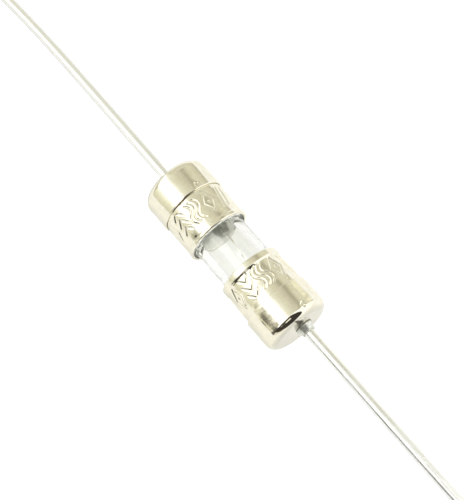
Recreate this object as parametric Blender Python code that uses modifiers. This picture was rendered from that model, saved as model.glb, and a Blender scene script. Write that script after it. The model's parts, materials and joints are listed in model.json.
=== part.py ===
"""Miniature glass cartridge fuse with axial leads, one solid for each piece.

Metres, +Z up. The body's axis is X and its middle is the origin. End A is at -X and end B at +X.
The fuse lies on its side, as it does on a bench: the two lead caps touch the bench. Both leads droop
until their tips nearly touch it too, and drift a little to opposite sides, which stops the body from rolling.

A glass tube carries a nickel plated ferrule at each end. The fuse wire runs through the tube and is
soldered into both ferrules. A thinner lead cap is pressed over each ferrule. It holds the headed end
of a tinned lead, which leaves through a hole in the cap and is soldered there.
"""

import math

import bmesh
import bpy
from mathutils import Matrix, Vector

MM = 0.001

# Body
BODY_LENGTH = 10.86 * MM
FERRULE_DIAMETER = 3.60 * MM
FERRULE_WALL = 0.24 * MM
FERRULE_END_WALL = 0.20 * MM
FERRULE_LIP = 0.03 * MM
FERRULE_LIP_LENGTH = 0.18 * MM
FERRULE_LIP_ROUND = 0.06 * MM
FERRULE_FLARE = 0.10 * MM
FERRULE_CORNER = 0.30 * MM
WINDOW_LENGTH = 2.52 * MM

# Glass tube
GLASS_DIAMETER = 3.04 * MM
GLASS_BORE = 2.10 * MM
GLASS_EDGE_ROUND = 0.08 * MM

# Lead caps
CAP_DIAMETER = 3.86 * MM
CAP_WALL = 0.10 * MM
CAP_END_WALL = 0.16 * MM
CAP_LENGTH = 1.95 * MM
CAP_CORNER = 0.50 * MM
CAP_MOUTH_ROUND = 0.08 * MM

# Leads
LEAD_DIAMETER = 0.60 * MM
LEAD_LENGTH = 26.0 * MM
LEAD_STRAIGHT = 1.5 * MM
LEAD_DROOP = 1.61 * MM
LEAD_DROOP_POWER = 1.5
LEAD_LEAN = 0.176
LEAD_DRIFT_POWER = 4
LEAD_POINTS = 20
LEAD_OFFSET_A = -0.05 * MM
LEAD_OFFSET_B = 0.26 * MM
LEAD_SPLAY_A = -0.0020
LEAD_SPLAY_B = 0.0065
LEAD_TIP_SIDE = 1.60 * MM
HEAD_DIAMETER = 1.20 * MM
HEAD_THICKNESS = 0.15 * MM

# Solder and fuse wire
FILLET_DIAMETER = 1.06 * MM
FILLET_HEIGHT = 0.45 * MM
FILLET_EDGE = 0.06 * MM
FILLET_POWER = 1.4
FUSE_WIRE_DIAMETER = 0.10 * MM
FUSE_WIRE_SIDE_A = 0.38 * MM
FUSE_WIRE_SIDE_B = -0.20 * MM
FUSE_WIRE_SAG = 0.10 * MM
FUSE_WIRE_POINTS = 16
DROP_ROOT_DIAMETER = 1.24 * MM
DROP_ROOT = 0.45 * MM
DROP_STEM_DIAMETER = 0.44 * MM
DROP_DIAMETER = 1.06 * MM
DROP_HALF_LENGTH = 0.70 * MM
DROP_TIP_A = 0.97 * MM
DROP_TIP_B = 2.95 * MM

# Fits: the pieces really touch, and each pair is drawn this far apart
FIT = 0.02 * MM
SLIP = 0.04 * MM

ROUND_STEPS = 60
RING_STEPS = 40
SMALL_STEPS = 24
ARC_STEPS = 5
EDGE_STEPS = 2
CORNER_STEPS = 7
MERGE = 1e-7
SMOOTH_ANGLE = math.radians(32)

# Places along the axis, measured from the middle of the body
CAP_END = BODY_LENGTH / 2
CAP_INSIDE = CAP_END - CAP_END_WALL
CAP_MOUTH = CAP_END - CAP_LENGTH
HEAD_TOP = CAP_INSIDE - FIT
HEAD_SEAT = HEAD_TOP - HEAD_THICKNESS
FERRULE_END = HEAD_SEAT - FIT
FERRULE_INSIDE = FERRULE_END - FERRULE_END_WALL
FERRULE_MOUTH = WINDOW_LENGTH / 2
GLASS_END = FERRULE_INSIDE - SLIP


def clear_scene():
    """Remove whatever the scene holds, so that the model starts from nothing."""
    for thing in list(bpy.data.objects):
        bpy.data.objects.remove(thing, do_unlink=True)


def new_collection(name):
    """Make a collection and hang it under the scene's own."""
    collection = bpy.data.collections.new(name)
    bpy.context.scene.collection.children.link(collection)
    return collection


def material(name, colour, metallic, roughness, transmission=0.0):
    """Make a Principled material with one colour."""
    made = bpy.data.materials.new(name)
    made.use_nodes = True
    shader = made.node_tree.nodes["Principled BSDF"]
    shader.inputs["Base Color"].default_value = (*colour, 1.0)
    shader.inputs["Metallic"].default_value = metallic
    shader.inputs["Roughness"].default_value = roughness
    shader.inputs["Transmission Weight"].default_value = transmission
    made.diffuse_color = (*colour, 1.0)
    return made


def arc(centre, radius, start, end, steps=ARC_STEPS):
    """Points of a profile along an arc, from one angle to the other, in degrees from the radius."""
    points = []
    for i in range(steps + 1):
        angle = math.radians(start + (end - start) * i / steps)
        points.append((centre[0] + radius * math.cos(angle), centre[1] + radius * math.sin(angle)))
    return points


def point_along_axis(thing, side, offset):
    """Turn a piece made along +Z to run out along the body's axis, at a place beside it."""
    thing.rotation_euler = (0.0, side * math.pi / 2, 0.0)
    thing.location = (0.0, offset, 0.0)


def turned(name, profile, finish, collection, closed=False, steps=ROUND_STEPS):
    """Turn a profile of (radius, height) points, which runs down its outer side, about Z.

    The profile starts half a step round, so that a facet and not an edge faces the bench.
    """
    mesh = bpy.data.meshes.new(name)
    edges = [(i, i + 1) for i in range(len(profile) - 1)]
    if closed:
        edges.append((len(profile) - 1, 0))
    half_step = math.pi / steps
    across = Vector((math.cos(half_step), math.sin(half_step), 0.0))
    mesh.from_pydata([radius * across + Vector((0.0, 0.0, height)) for radius, height in profile], edges, [])
    thing = bpy.data.objects.new(name, mesh)
    collection.objects.link(thing)
    thing.data.materials.append(finish)
    screw = thing.modifiers.new("Turn", "SCREW")
    screw.axis = "Z"
    screw.angle = 2 * math.pi
    screw.steps = steps
    screw.render_steps = steps
    screw.use_merge_vertices = True
    screw.merge_threshold = MERGE
    screw.use_smooth_shade = True
    return thing


def smooth(thing):
    """Shade a mesh smooth, with its real edges left sharp."""
    thing.data.shade_smooth()
    thing.data.set_sharp_from_angle(angle=SMOOTH_ANGLE)


def wire(name, points, diameter, finish, collection):
    """Make a round wire through a list of points, with flat cut ends."""
    curve = bpy.data.curves.new(name, "CURVE")
    curve.dimensions = "3D"
    curve.bevel_depth = diameter / 2
    curve.bevel_resolution = 3
    curve.use_fill_caps = True
    spline = curve.splines.new("POLY")
    spline.points.add(len(points) - 1)
    for place, point in zip(spline.points, points):
        place.co = (*point, 1.0)
    curve.materials.append(finish)
    thing = bpy.data.objects.new(name, curve)
    collection.objects.link(thing)
    return thing


def as_mesh(thing, collection):
    """Swap a curve for a mesh of the same form, with its end caps welded on."""
    name = thing.name
    finish = thing.data.materials[0]
    place = thing.matrix_world.copy()
    evaluated = thing.evaluated_get(bpy.context.evaluated_depsgraph_get())
    mesh = bpy.data.meshes.new_from_object(evaluated)
    bpy.data.objects.remove(thing, do_unlink=True)
    shape = bmesh.new()
    shape.from_mesh(mesh)
    bmesh.ops.remove_doubles(shape, verts=shape.verts, dist=MERGE)
    bmesh.ops.recalc_face_normals(shape, faces=shape.faces)
    shape.to_mesh(mesh)
    shape.free()
    mesh.materials.clear()
    mesh.materials.append(finish)
    made = bpy.data.objects.new(name, mesh)
    made.matrix_world = place
    collection.objects.link(made)
    return made


def disc_tool(name, diameter, start, end, side, offset, collection):
    """Make a round tool along the body's axis, which cuts a hole or adds a head."""
    mesh = bpy.data.meshes.new(name)
    shape = bmesh.new()
    bmesh.ops.create_cone(
        shape,
        cap_ends=True,
        segments=SMALL_STEPS,
        radius1=diameter / 2,
        radius2=diameter / 2,
        depth=end - start,
        matrix=Matrix.Translation((0.0, 0.0, (start + end) / 2)),
    )
    shape.to_mesh(mesh)
    shape.free()
    tool = bpy.data.objects.new(name, mesh)
    point_along_axis(tool, side, offset)
    tool.hide_render = True
    tool.display_type = "WIRE"
    collection.objects.link(tool)
    return tool


def boolean(thing, tool, operation):
    """Cut a tool out of a piece, or join it on."""
    step = thing.modifiers.new(operation.title(), "BOOLEAN")
    step.operation = operation
    step.solver = "EXACT"
    step.object = tool


def glass_tube(finish, parts):
    """Make the clear tube, its cut ends fire polished to a small round."""
    outside = GLASS_DIAMETER / 2
    bore = GLASS_BORE / 2
    turn = GLASS_EDGE_ROUND
    profile = arc((outside - turn, GLASS_END - turn), turn, 90, 0, EDGE_STEPS)
    profile += arc((outside - turn, turn - GLASS_END), turn, 0, -90, EDGE_STEPS)
    profile += arc((bore + turn, turn - GLASS_END), turn, -90, -180, EDGE_STEPS)
    profile += arc((bore + turn, GLASS_END - turn), turn, 180, 90, EDGE_STEPS)
    tube = turned("glass_tube", profile, finish, parts, closed=True)
    point_along_axis(tube, 1, 0.0)


def ferrule(end, side, finish, parts):
    """Make one drawn ferrule: a deep cup whose rim flares out a little to a blunt lip."""
    outside = FERRULE_DIAMETER / 2
    inside = outside - FERRULE_WALL
    inner_corner = FERRULE_CORNER - FERRULE_END_WALL / 2
    lip = outside + FERRULE_LIP
    lip_top = FERRULE_MOUTH + FERRULE_LIP_LENGTH
    turn = FERRULE_LIP_ROUND
    profile = [(0.0, FERRULE_END)]
    corner = (outside - FERRULE_CORNER, FERRULE_END - FERRULE_CORNER)
    profile += arc(corner, FERRULE_CORNER, 90, 0, EDGE_STEPS + 1)
    profile += [(outside, lip_top + FERRULE_FLARE), (lip, lip_top)]
    profile += arc((lip - turn, FERRULE_MOUTH + turn), turn, 0, -90, EDGE_STEPS)
    profile.append((inside, FERRULE_MOUTH))
    profile += [(inside, FERRULE_INSIDE - inner_corner), (inside - inner_corner / 3, FERRULE_INSIDE)]
    profile.append((0.0, FERRULE_INSIDE))
    cup = turned("ferrule_" + end, profile, finish, parts)
    point_along_axis(cup, side, 0.0)


def lead_cap(end, side, offset, finish, parts, tools):
    """Make one thin lead cap, pressed over the ferrule, with the hole that its lead leaves by."""
    outside = CAP_DIAMETER / 2
    inside = outside - CAP_WALL
    inner_corner = CAP_CORNER - CAP_WALL
    turn = CAP_MOUTH_ROUND
    profile = [(0.0, CAP_END)]
    profile += arc((outside - CAP_CORNER, CAP_END - CAP_CORNER), CAP_CORNER, 90, 0, CORNER_STEPS)
    profile += arc((outside - turn, CAP_MOUTH + turn), turn, 0, -90, EDGE_STEPS)
    profile.append((inside, CAP_MOUTH))
    corner = (inside - inner_corner, CAP_INSIDE - inner_corner)
    profile += arc(corner, inner_corner, 0, 90, EDGE_STEPS + 1)
    profile.append((0.0, CAP_INSIDE))
    cap = turned("lead_cap_" + end, profile, finish, parts)
    point_along_axis(cap, side, 0.0)
    hole = LEAD_DIAMETER + 2 * FIT
    reach = CAP_END_WALL
    tool = disc_tool("lead_hole_" + end, hole, CAP_INSIDE - reach, CAP_END + reach, side, offset, tools)
    boolean(cap, tool, "DIFFERENCE")


def lead_route(side, offset, splay):
    """Points along one lead: level out of the cap, a little askew, then down and off to its own side.

    The droop leans a little towards +Y, and the drift takes over near the tip.
    """
    drift = side * LEAD_TIP_SIDE - offset - splay * LEAD_LENGTH - LEAD_LEAN * LEAD_DROOP
    points = [Vector((side * (HEAD_TOP - HEAD_THICKNESS / 2), offset, 0.0))]
    for i in range(LEAD_POINTS + 1):
        part = i / LEAD_POINTS
        out = LEAD_STRAIGHT + (LEAD_LENGTH - LEAD_STRAIGHT) * part
        droop = LEAD_DROOP * part**LEAD_DROOP_POWER
        across = offset + splay * out + LEAD_LEAN * droop + drift * part**LEAD_DRIFT_POWER
        points.append(Vector((side * (CAP_END + out), across, -droop)))
    return points


def lead_wire(end, side, offset, splay, finish, parts, tools):
    """Make one lead, with the flat head that keeps it inside its cap."""
    route = lead_route(side, offset, splay)
    lead = as_mesh(wire("lead_wire_" + end, route, LEAD_DIAMETER, finish, parts), parts)
    head = disc_tool("lead_head_" + end, HEAD_DIAMETER, HEAD_SEAT, HEAD_TOP, side, offset, tools)
    boolean(lead, head, "UNION")
    smooth(lead)


def lead_solder(end, side, offset, finish, parts):
    """Make the blunt ring of solder round a lead where it leaves its cap."""
    bore = LEAD_DIAMETER / 2 + FIT
    foot = FILLET_DIAMETER / 2
    base = CAP_END + FIT
    top = CAP_END + FILLET_HEIGHT
    neck = bore + FILLET_EDGE
    profile = [(bore, top), (neck, top)]
    for i in range(1, ARC_STEPS):
        part = i / ARC_STEPS
        profile.append((neck + (foot - neck) * part**FILLET_POWER, top + (base - top) * part))
    profile += [(foot, base + FILLET_EDGE), (foot - FILLET_EDGE / 2, base), (bore, base)]
    ring = turned("lead_solder_" + end, profile, finish, parts, closed=True, steps=RING_STEPS)
    point_along_axis(ring, side, offset)


def ferrule_solder(end, side, offset, sag, tip, finish, parts):
    """Make the solder in a ferrule: a foot on its end, a thin stem along the fuse wire and a round bead."""
    bore = FUSE_WIRE_DIAMETER / 2 + FIT
    foot = DROP_ROOT_DIAMETER / 2
    stem = DROP_STEM_DIAMETER / 2
    bead = DROP_DIAMETER / 2
    top = FERRULE_INSIDE - FIT
    middle = tip + DROP_HALF_LENGTH
    start = math.asin(stem / bead)
    profile = [(bore, top), (foot, top), (stem, top - DROP_ROOT)]
    for i in range(2 * ARC_STEPS + 1):
        angle = start + (math.pi - start - math.asin(bore / bead)) * i / (2 * ARC_STEPS)
        profile.append((bead * math.sin(angle), middle + DROP_HALF_LENGTH * math.cos(angle)))
    drop = turned("ferrule_solder_" + end, profile, finish, parts, closed=True, steps=SMALL_STEPS)
    point_along_axis(drop, side, offset)
    drop.location.z = -sag


def fuse_wire(finish, parts):
    """Make the thin wire that melts: straight in both drops of solder, easing across between them."""
    end = FERRULE_INSIDE - 4 * FIT
    points = [Vector((-end, FUSE_WIRE_SIDE_A, 0.0))]
    for i in range(FUSE_WIRE_POINTS + 1):
        part = i / FUSE_WIRE_POINTS
        across = part * part * (3 - 2 * part)
        side = FUSE_WIRE_SIDE_A + (FUSE_WIRE_SIDE_B - FUSE_WIRE_SIDE_A) * across
        points.append(Vector((DROP_TIP_B * part - DROP_TIP_A * (1 - part), side, -FUSE_WIRE_SAG * across)))
    points.append(Vector((end, FUSE_WIRE_SIDE_B, -FUSE_WIRE_SAG)))
    wire("fuse_wire", points, FUSE_WIRE_DIAMETER, finish, parts)


def build():
    """Build every piece of the fuse."""
    clear_scene()
    parts = new_collection("glass_cartridge_fuse")
    tools = new_collection("glass_cartridge_fuse_tools")

    glass = material("clear_glass", (0.94, 0.96, 0.94), 0.0, 0.02, 1.0)
    nickel = material("ferrule_nickel", (0.80, 0.76, 0.64), 1.0, 0.14)
    cap_nickel = material("cap_nickel", (0.82, 0.78, 0.66), 1.0, 0.12)
    tin = material("tinned_lead", (0.76, 0.76, 0.72), 1.0, 0.30)
    solder = material("outer_solder", (0.48, 0.48, 0.46), 0.9, 0.42)
    inner_solder = material("inner_solder", (0.30, 0.30, 0.29), 0.9, 0.38)
    fuse_alloy = material("fuse_alloy", (0.80, 0.74, 0.62), 1.0, 0.25)

    glass_tube(glass, parts)
    fuse_wire(fuse_alloy, parts)
    ends = (
        ("a", -1, LEAD_OFFSET_A, LEAD_SPLAY_A, FUSE_WIRE_SIDE_A, 0.0, DROP_TIP_A),
        ("b", 1, LEAD_OFFSET_B, LEAD_SPLAY_B, FUSE_WIRE_SIDE_B, FUSE_WIRE_SAG, DROP_TIP_B),
    )
    for end, side, offset, splay, wire_side, wire_sag, drop_tip in ends:
        ferrule(end, side, nickel, parts)
        ferrule_solder(end, side, wire_side, wire_sag, drop_tip, inner_solder, parts)
        lead_cap(end, side, offset, cap_nickel, parts, tools)
        lead_wire(end, side, offset, splay, tin, parts, tools)
        lead_solder(end, side, offset, solder, parts)


build()
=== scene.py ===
"""Looks of a miniature glass cartridge fuse with axial leads.

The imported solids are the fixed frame. Each solid is replaced by a finer mesh of the same form, with truly
round turned edges, a stamped band, lumpy solder and drawn wires. The body's axis is X, end A is at -X and
end B at +X, and the fuse lies on a plain pale floor. The classes hold millimetres, and meshes are metres.
"""

import json
import logging
import math
import random
from dataclasses import dataclass, field
from enum import Enum
from functools import reduce
from typing import Any, Callable, NamedTuple, Sequence

import bmesh
import bpy
import numpy as np
from mathutils import Matrix, Vector


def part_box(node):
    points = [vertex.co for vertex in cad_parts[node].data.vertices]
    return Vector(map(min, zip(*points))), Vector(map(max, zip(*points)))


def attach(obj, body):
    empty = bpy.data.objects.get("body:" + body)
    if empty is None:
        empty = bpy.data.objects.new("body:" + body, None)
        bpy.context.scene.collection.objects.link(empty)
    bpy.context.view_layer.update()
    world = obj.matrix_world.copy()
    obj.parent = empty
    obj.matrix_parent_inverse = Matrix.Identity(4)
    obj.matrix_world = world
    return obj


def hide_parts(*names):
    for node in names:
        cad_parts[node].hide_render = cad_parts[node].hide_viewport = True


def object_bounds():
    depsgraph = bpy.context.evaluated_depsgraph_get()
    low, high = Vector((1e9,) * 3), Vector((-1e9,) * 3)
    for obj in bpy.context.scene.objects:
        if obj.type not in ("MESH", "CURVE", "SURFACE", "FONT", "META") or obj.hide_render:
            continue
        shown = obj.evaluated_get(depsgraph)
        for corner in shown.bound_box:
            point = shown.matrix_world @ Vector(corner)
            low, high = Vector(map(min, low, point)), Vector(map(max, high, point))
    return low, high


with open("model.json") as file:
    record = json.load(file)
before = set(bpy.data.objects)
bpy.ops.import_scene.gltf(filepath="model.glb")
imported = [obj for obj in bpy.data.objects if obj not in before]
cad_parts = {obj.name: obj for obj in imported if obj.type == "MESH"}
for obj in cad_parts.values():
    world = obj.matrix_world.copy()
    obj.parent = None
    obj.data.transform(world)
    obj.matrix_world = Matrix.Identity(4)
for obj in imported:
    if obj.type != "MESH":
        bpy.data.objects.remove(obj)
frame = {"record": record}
CAD_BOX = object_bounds()

MM = 0.001
BODY = "root"
LOG = logging.getLogger("glass_cartridge_fuse")
SHARP_OVER = math.radians(40.0)

Colour = tuple[float, float, float]
Object = bpy.types.Object
Socket = bpy.types.NodeSocket
Relief = Callable[[np.ndarray, np.ndarray], np.ndarray]

WHITE = (1.0, 1.0, 1.0)


def grey(light: float) -> Colour:
    """A colour without a hue."""
    return (light, light, light)


def smooth(part: Any) -> Any:
    """Ease a share from 0 to 1 in and out."""
    return part * part * (3 - 2 * part)


def by_side(at_a: Any, at_b: Any) -> Any:
    """A field with one value for each end of the fuse."""
    return field(default_factory=lambda: {Side.A: at_a, Side.B: at_b})


class Side(Enum):
    """The two ends of the fuse, by the sign of their place along the axis."""

    A = -1
    B = 1

    def node(self, piece: str) -> str:
        """Name of this end's solid of one kind."""
        return f"{piece}_{self.name.lower()}"


class Mark(Enum):
    """Simple marks stamped round a ferrule."""

    LOZENGE = "lozenge"
    CHEVRON = "chevron"
    BARS = "bars"
    WAVE = "wave"
    HATCH = "hatch"


class Ring(NamedTuple):
    """One circle of a turned body.

    Attributes:
        out: Place along the axis, from the body's middle outwards.
        radius: Radius of the circle.
        shift: Sideways place of the circle's middle, along Y.
        relief: Share of the piece's relief that the circle takes.
    """

    out: float
    radius: float
    shift: float = 0.0
    relief: float = 0.0


def bend(
    out: float,
    radius: float,
    size: float,
    start: float,
    end: float,
    steps: int,
    relief: float | None = None,
) -> list[Ring]:
    """Rings round a bend of a turned profile.

    Args:
        out: Place of the bend's centre along the axis.
        radius: Distance of the bend's centre from the axis.
        size: Radius of the bend.
        start: Where it starts, in degrees from straight away from the axis (0) to outwards along it (90).
        end: Where it ends, in the same degrees.
        steps: Number of stretches between the rings.
        relief: Share of the relief that they take. By default it fades as they leave the outer side.

    Returns:
        The rings, both ends included.
    """
    rings = []
    for i in range(steps + 1):
        turn = math.radians(start + (end - start) * i / steps)
        share = max(math.cos(turn), 0.0) ** 2 if relief is None else relief
        rings.append(Ring(out + size * math.sin(turn), radius + size * math.cos(turn), relief=share))
    return rings


def stretch(first: Ring, last: Ring, steps: int) -> list[Ring]:
    """Evenly spaced rings from one ring to another, both included."""
    shares = [i / steps for i in range(steps + 1)]
    return [Ring(*(a + (b - a) * share for a, b in zip(first, last))) for share in shares]


def make_piece(name: str, points: np.ndarray, faces: list[list[int]]) -> Object:
    """Make a smooth shaded closed mesh in the scene.

    Args:
        name: Name of the piece.
        points: Its points, in millimetres.
        faces: Indices of each face's points.

    Returns:
        The piece.
    """
    mesh = bpy.data.meshes.new(name)
    mesh.from_pydata((points * MM).tolist(), [], faces)
    shape = bmesh.new()
    shape.from_mesh(mesh)
    bmesh.ops.recalc_face_normals(shape, faces=shape.faces)
    shape.to_mesh(mesh)
    shape.free()
    mesh.shade_smooth()
    mesh.set_sharp_from_angle(angle=SHARP_OVER)
    piece = bpy.data.objects.new(name, mesh)
    bpy.context.scene.collection.objects.link(piece)
    return piece


def grid_faces(rows: int, steps: int, looped: bool) -> list[list[int]]:
    """Faces of a tube of rings, whose ends either join or are closed flat.

    Args:
        rows: Number of rings.
        steps: Number of points round each ring.
        looped: Whether the last ring joins the first.

    Returns:
        Indices of each face's points.
    """
    index = np.arange(rows * steps).reshape(rows, steps)
    near = index if looped else index[:-1]
    far = np.roll(index, -1, axis=0) if looped else index[1:]
    quads = np.stack([near, np.roll(near, -1, axis=1), np.roll(far, -1, axis=1), far], axis=-1)
    faces = quads.reshape(-1, 4).tolist()
    if not looped:
        faces += [index[0].tolist(), index[-1].tolist()]
    return faces


@dataclass
class TurnedBody:
    """A closed body turned about the fuse's axis, or about a line beside it.

    Attributes:
        name: Name of the piece.
        side: End of the fuse that its rings count outwards to.
        rings: Its circles, in order round the profile.
        steps: Faces round each circle.
        looped: Whether the last circle joins the first. If not, both are closed flat.
        middle: Place of its own axis in Y and Z.
        relief: Height to add to the surface, by place along the axis and angle round it.
        sway: Shift along the axis, by the same place and angle.
        top: Highest place over its own axis, by place along the axis.
    """

    name: str
    side: Side
    rings: Sequence[Ring]
    steps: int
    looped: bool = True
    middle: tuple[float, float] = (0.0, 0.0)
    relief: Relief | None = None
    sway: Relief | None = None
    top: Callable[[np.ndarray], np.ndarray] | None = None

    def points(self) -> np.ndarray:
        """Work out the place of every point.

        Returns:
            The points in millimetres, ring after ring.
        """
        turns = np.linspace(0.0, 2 * math.pi, self.steps, endpoint=False)
        ring = np.repeat(np.array(self.rings, float)[:, None, :], self.steps, axis=1)
        out, radius, shift, share = (ring[:, :, i] for i in range(4))
        angle = np.broadcast_to(turns, out.shape)
        if self.relief is not None:
            radius = radius + share * self.relief(out, angle)
        if self.sway is not None:
            out = out + self.sway(out, angle)
        across = self.middle[0] + shift + radius * np.sin(angle)
        up = radius * np.cos(angle)
        if self.top is not None:
            up = np.minimum(up, self.top(out))
        return np.stack([self.side.value * out, across, self.middle[1] + up], axis=-1).reshape(-1, 3)

    def build(self) -> Object:
        """Make the piece's mesh and object."""
        faces = grid_faces(len(self.rings), self.steps, self.looped)
        return make_piece(self.name, self.points(), faces)


@dataclass
class DrawnWire:
    """A round wire along a route that runs mostly along X.

    Attributes:
        name: Name of the piece.
        route: Points of its centre line, in millimetres.
        radii: Radius of the wire at each of them.
        steps: Faces round the wire.
    """

    name: str
    route: np.ndarray
    radii: np.ndarray
    steps: int

    def build(self) -> Object:
        """Make the wire's mesh and object.

        Returns:
            The piece.
        """
        ahead = np.gradient(self.route, axis=0)
        ahead /= np.linalg.norm(ahead, axis=1, keepdims=True)
        beside = np.cross(ahead, (0.0, 0.0, 1.0))
        beside /= np.linalg.norm(beside, axis=1, keepdims=True)
        above = np.cross(beside, ahead)
        angle = np.linspace(0.0, 2 * math.pi, self.steps, endpoint=False)[None, :, None]
        round_it = beside[:, None, :] * np.sin(angle) + above[:, None, :] * np.cos(angle)
        points = self.route[:, None, :] + self.radii[:, None, None] * round_it
        faces = grid_faces(len(self.route), self.steps, looped=False)
        return make_piece(self.name, points.reshape(-1, 3), faces)


@dataclass(frozen=True)
class Unevenness:
    """A soft random unevenness of a surface, the same each run.

    Attributes:
        seed: Start of its random draws.
        height: Its greatest rise or fall.
        most_round: Most waves that go round the piece.
        shortest: Length of its shortest wave along the axis.
        count: Number of waves added up.
    """

    seed: int
    height: float
    most_round: int = 7
    shortest: float = 1.6
    count: int = 14

    def __call__(self, out: np.ndarray, angle: np.ndarray) -> np.ndarray:
        """Give the height at places on the surface.

        Args:
            out: Places along the axis.
            angle: Angles round it.

        Returns:
            The heights, each between the greatest fall and the greatest rise.
        """
        draw = random.Random(self.seed)
        total = np.zeros_like(out)
        squares = 0.0
        for _ in range(self.count):
            turns = draw.randint(0, self.most_round)
            pace = 2 * math.pi / (self.shortest * draw.uniform(1.0, 4.0))
            start = draw.uniform(0.0, 2 * math.pi)
            weight = draw.uniform(0.4, 1.0)
            total += weight * np.sin(turns * angle + pace * out + start)
            squares += weight * weight
        return self.height * np.tanh(total / math.sqrt(squares))


@dataclass(frozen=True)
class Dents:
    """Small round dents left by handling.

    Attributes:
        radius: Radius of the piece, which turns an angle into a length.
        places: Place along the axis and angle round it, in degrees, of each dent.
        size: Radius of a dent.
        depth: Depth of a dent.
    """

    radius: float
    places: tuple[tuple[float, float], ...]
    size: float = 0.07
    depth: float = 0.04

    def __call__(self, out: np.ndarray, angle: np.ndarray) -> np.ndarray:
        """Give the height at places on the surface.

        Args:
            out: Places along the axis.
            angle: Angles round it.

        Returns:
            The heights, negative in the dents.
        """
        total = np.zeros_like(out)
        for along, turned in self.places:
            away = np.hypot(out - along, (angle - math.radians(turned)) * self.radius)
            total -= self.depth * np.exp(-((away / self.size) ** 2))
        return total


@dataclass(frozen=True)
class StampedBand:
    """A band of simple marks pressed into a ferrule.

    Attributes:
        radius: Radius of the ferrule, which turns an angle into a length.
        middle: Place of the band along the axis.
        start: Angle of its first mark, in degrees.
        marks: Its marks, in order round the ferrule.
        half_tall: Half the height of a mark.
        half_wide: Half the width of a mark.
        half_stroke: Half the width of a stroke.
        bar_gap: Half the distance between two bars.
        lean: How far a bar leans across, for its length.
        row: Distance between two chevrons, in half heights.
        fall: How far a chevron falls towards its sides, in half heights.
        rise: How steeply the hatching's lines run.
        depth: Depth of a stroke.
        shoulder: Height of the metal raised beside a stroke.
    """

    radius: float
    middle: float
    start: float
    marks: tuple[Mark, ...]
    half_tall: float = 0.62
    half_wide: float = 0.34
    half_stroke: float = 0.08
    bar_gap: float = 0.17
    lean: float = 0.3
    row: float = 0.8
    fall: float = 0.6
    rise: float = 0.8
    depth: float = 0.030
    shoulder: float = 0.004

    def to_stroke(self, mark: Mark, across: np.ndarray, along: np.ndarray) -> np.ndarray:
        """Distance from places to the nearest stroke of a mark.

        Args:
            mark: The mark.
            across: Places round the ferrule, from the mark's middle.
            along: Places along the axis, from the mark's middle.

        Returns:
            The distances.
        """
        wide, tall = self.half_wide, self.half_tall
        past_side = np.maximum(np.abs(across) - wide, 0.0)
        past_end = np.maximum(np.abs(along) - tall, 0.0)
        if mark is Mark.LOZENGE:
            size = np.abs(across) / wide + np.abs(along) / tall
            nearest = np.minimum(np.abs(size - 1.0), size)
            return nearest / math.hypot(1 / wide, 1 / tall)
        if mark is Mark.CHEVRON:
            folded = self.fall * np.abs(across) / wide + along / tall
            nearest = np.abs(folded % self.row - self.row / 2)
            return np.hypot(nearest / math.hypot(self.fall / wide, 1 / tall), past_side + past_end)
        if mark is Mark.BARS:
            slanted = np.abs(across - self.lean * along)
            return np.hypot(np.abs(slanted - self.bar_gap), past_end)
        if mark is Mark.HATCH:
            pitch = 1.3 * wide
            ways = [((across + way * along) / pitch + 0.5) % 1.0 - 0.5 for way in (self.rise, -self.rise)]
            nearest = np.minimum(*np.abs(ways)) * pitch / math.hypot(1.0, self.rise)
            return np.hypot(nearest, past_side + past_end)
        line = 0.5 * wide * np.sin(math.pi * along / tall)
        steep = 0.5 * wide * math.pi / tall * np.cos(math.pi * along / tall)
        beside = np.abs(across - line)
        beside = np.minimum(beside, np.abs(beside - wide * 0.8))
        return np.hypot(beside / np.hypot(1.0, steep), past_end)

    def __call__(self, out: np.ndarray, angle: np.ndarray) -> np.ndarray:
        """Give the stamped height at places on the ferrule.

        Args:
            out: Places along the axis.
            angle: Angles round it.

        Returns:
            The heights, negative in the strokes.
        """
        pitch = 2 * math.pi / len(self.marks)
        turned = (angle - math.radians(self.start)) / pitch + 0.5
        across = (turned % 1.0 - 0.5) * pitch * self.radius
        place = np.floor(turned).astype(int) % len(self.marks)
        nearest = np.full_like(out, self.half_tall)
        for i, mark in enumerate(self.marks):
            distance = self.to_stroke(mark, across, out - self.middle)
            nearest = np.where(place == i, distance, nearest)
        wall = np.clip(1.0 - nearest / self.half_stroke, 0.0, 1.0)
        beside = np.exp(-(((nearest - self.half_stroke * 1.35) / (self.half_stroke * 0.4)) ** 2))
        return self.shoulder * beside - self.depth * smooth(wall)


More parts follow.
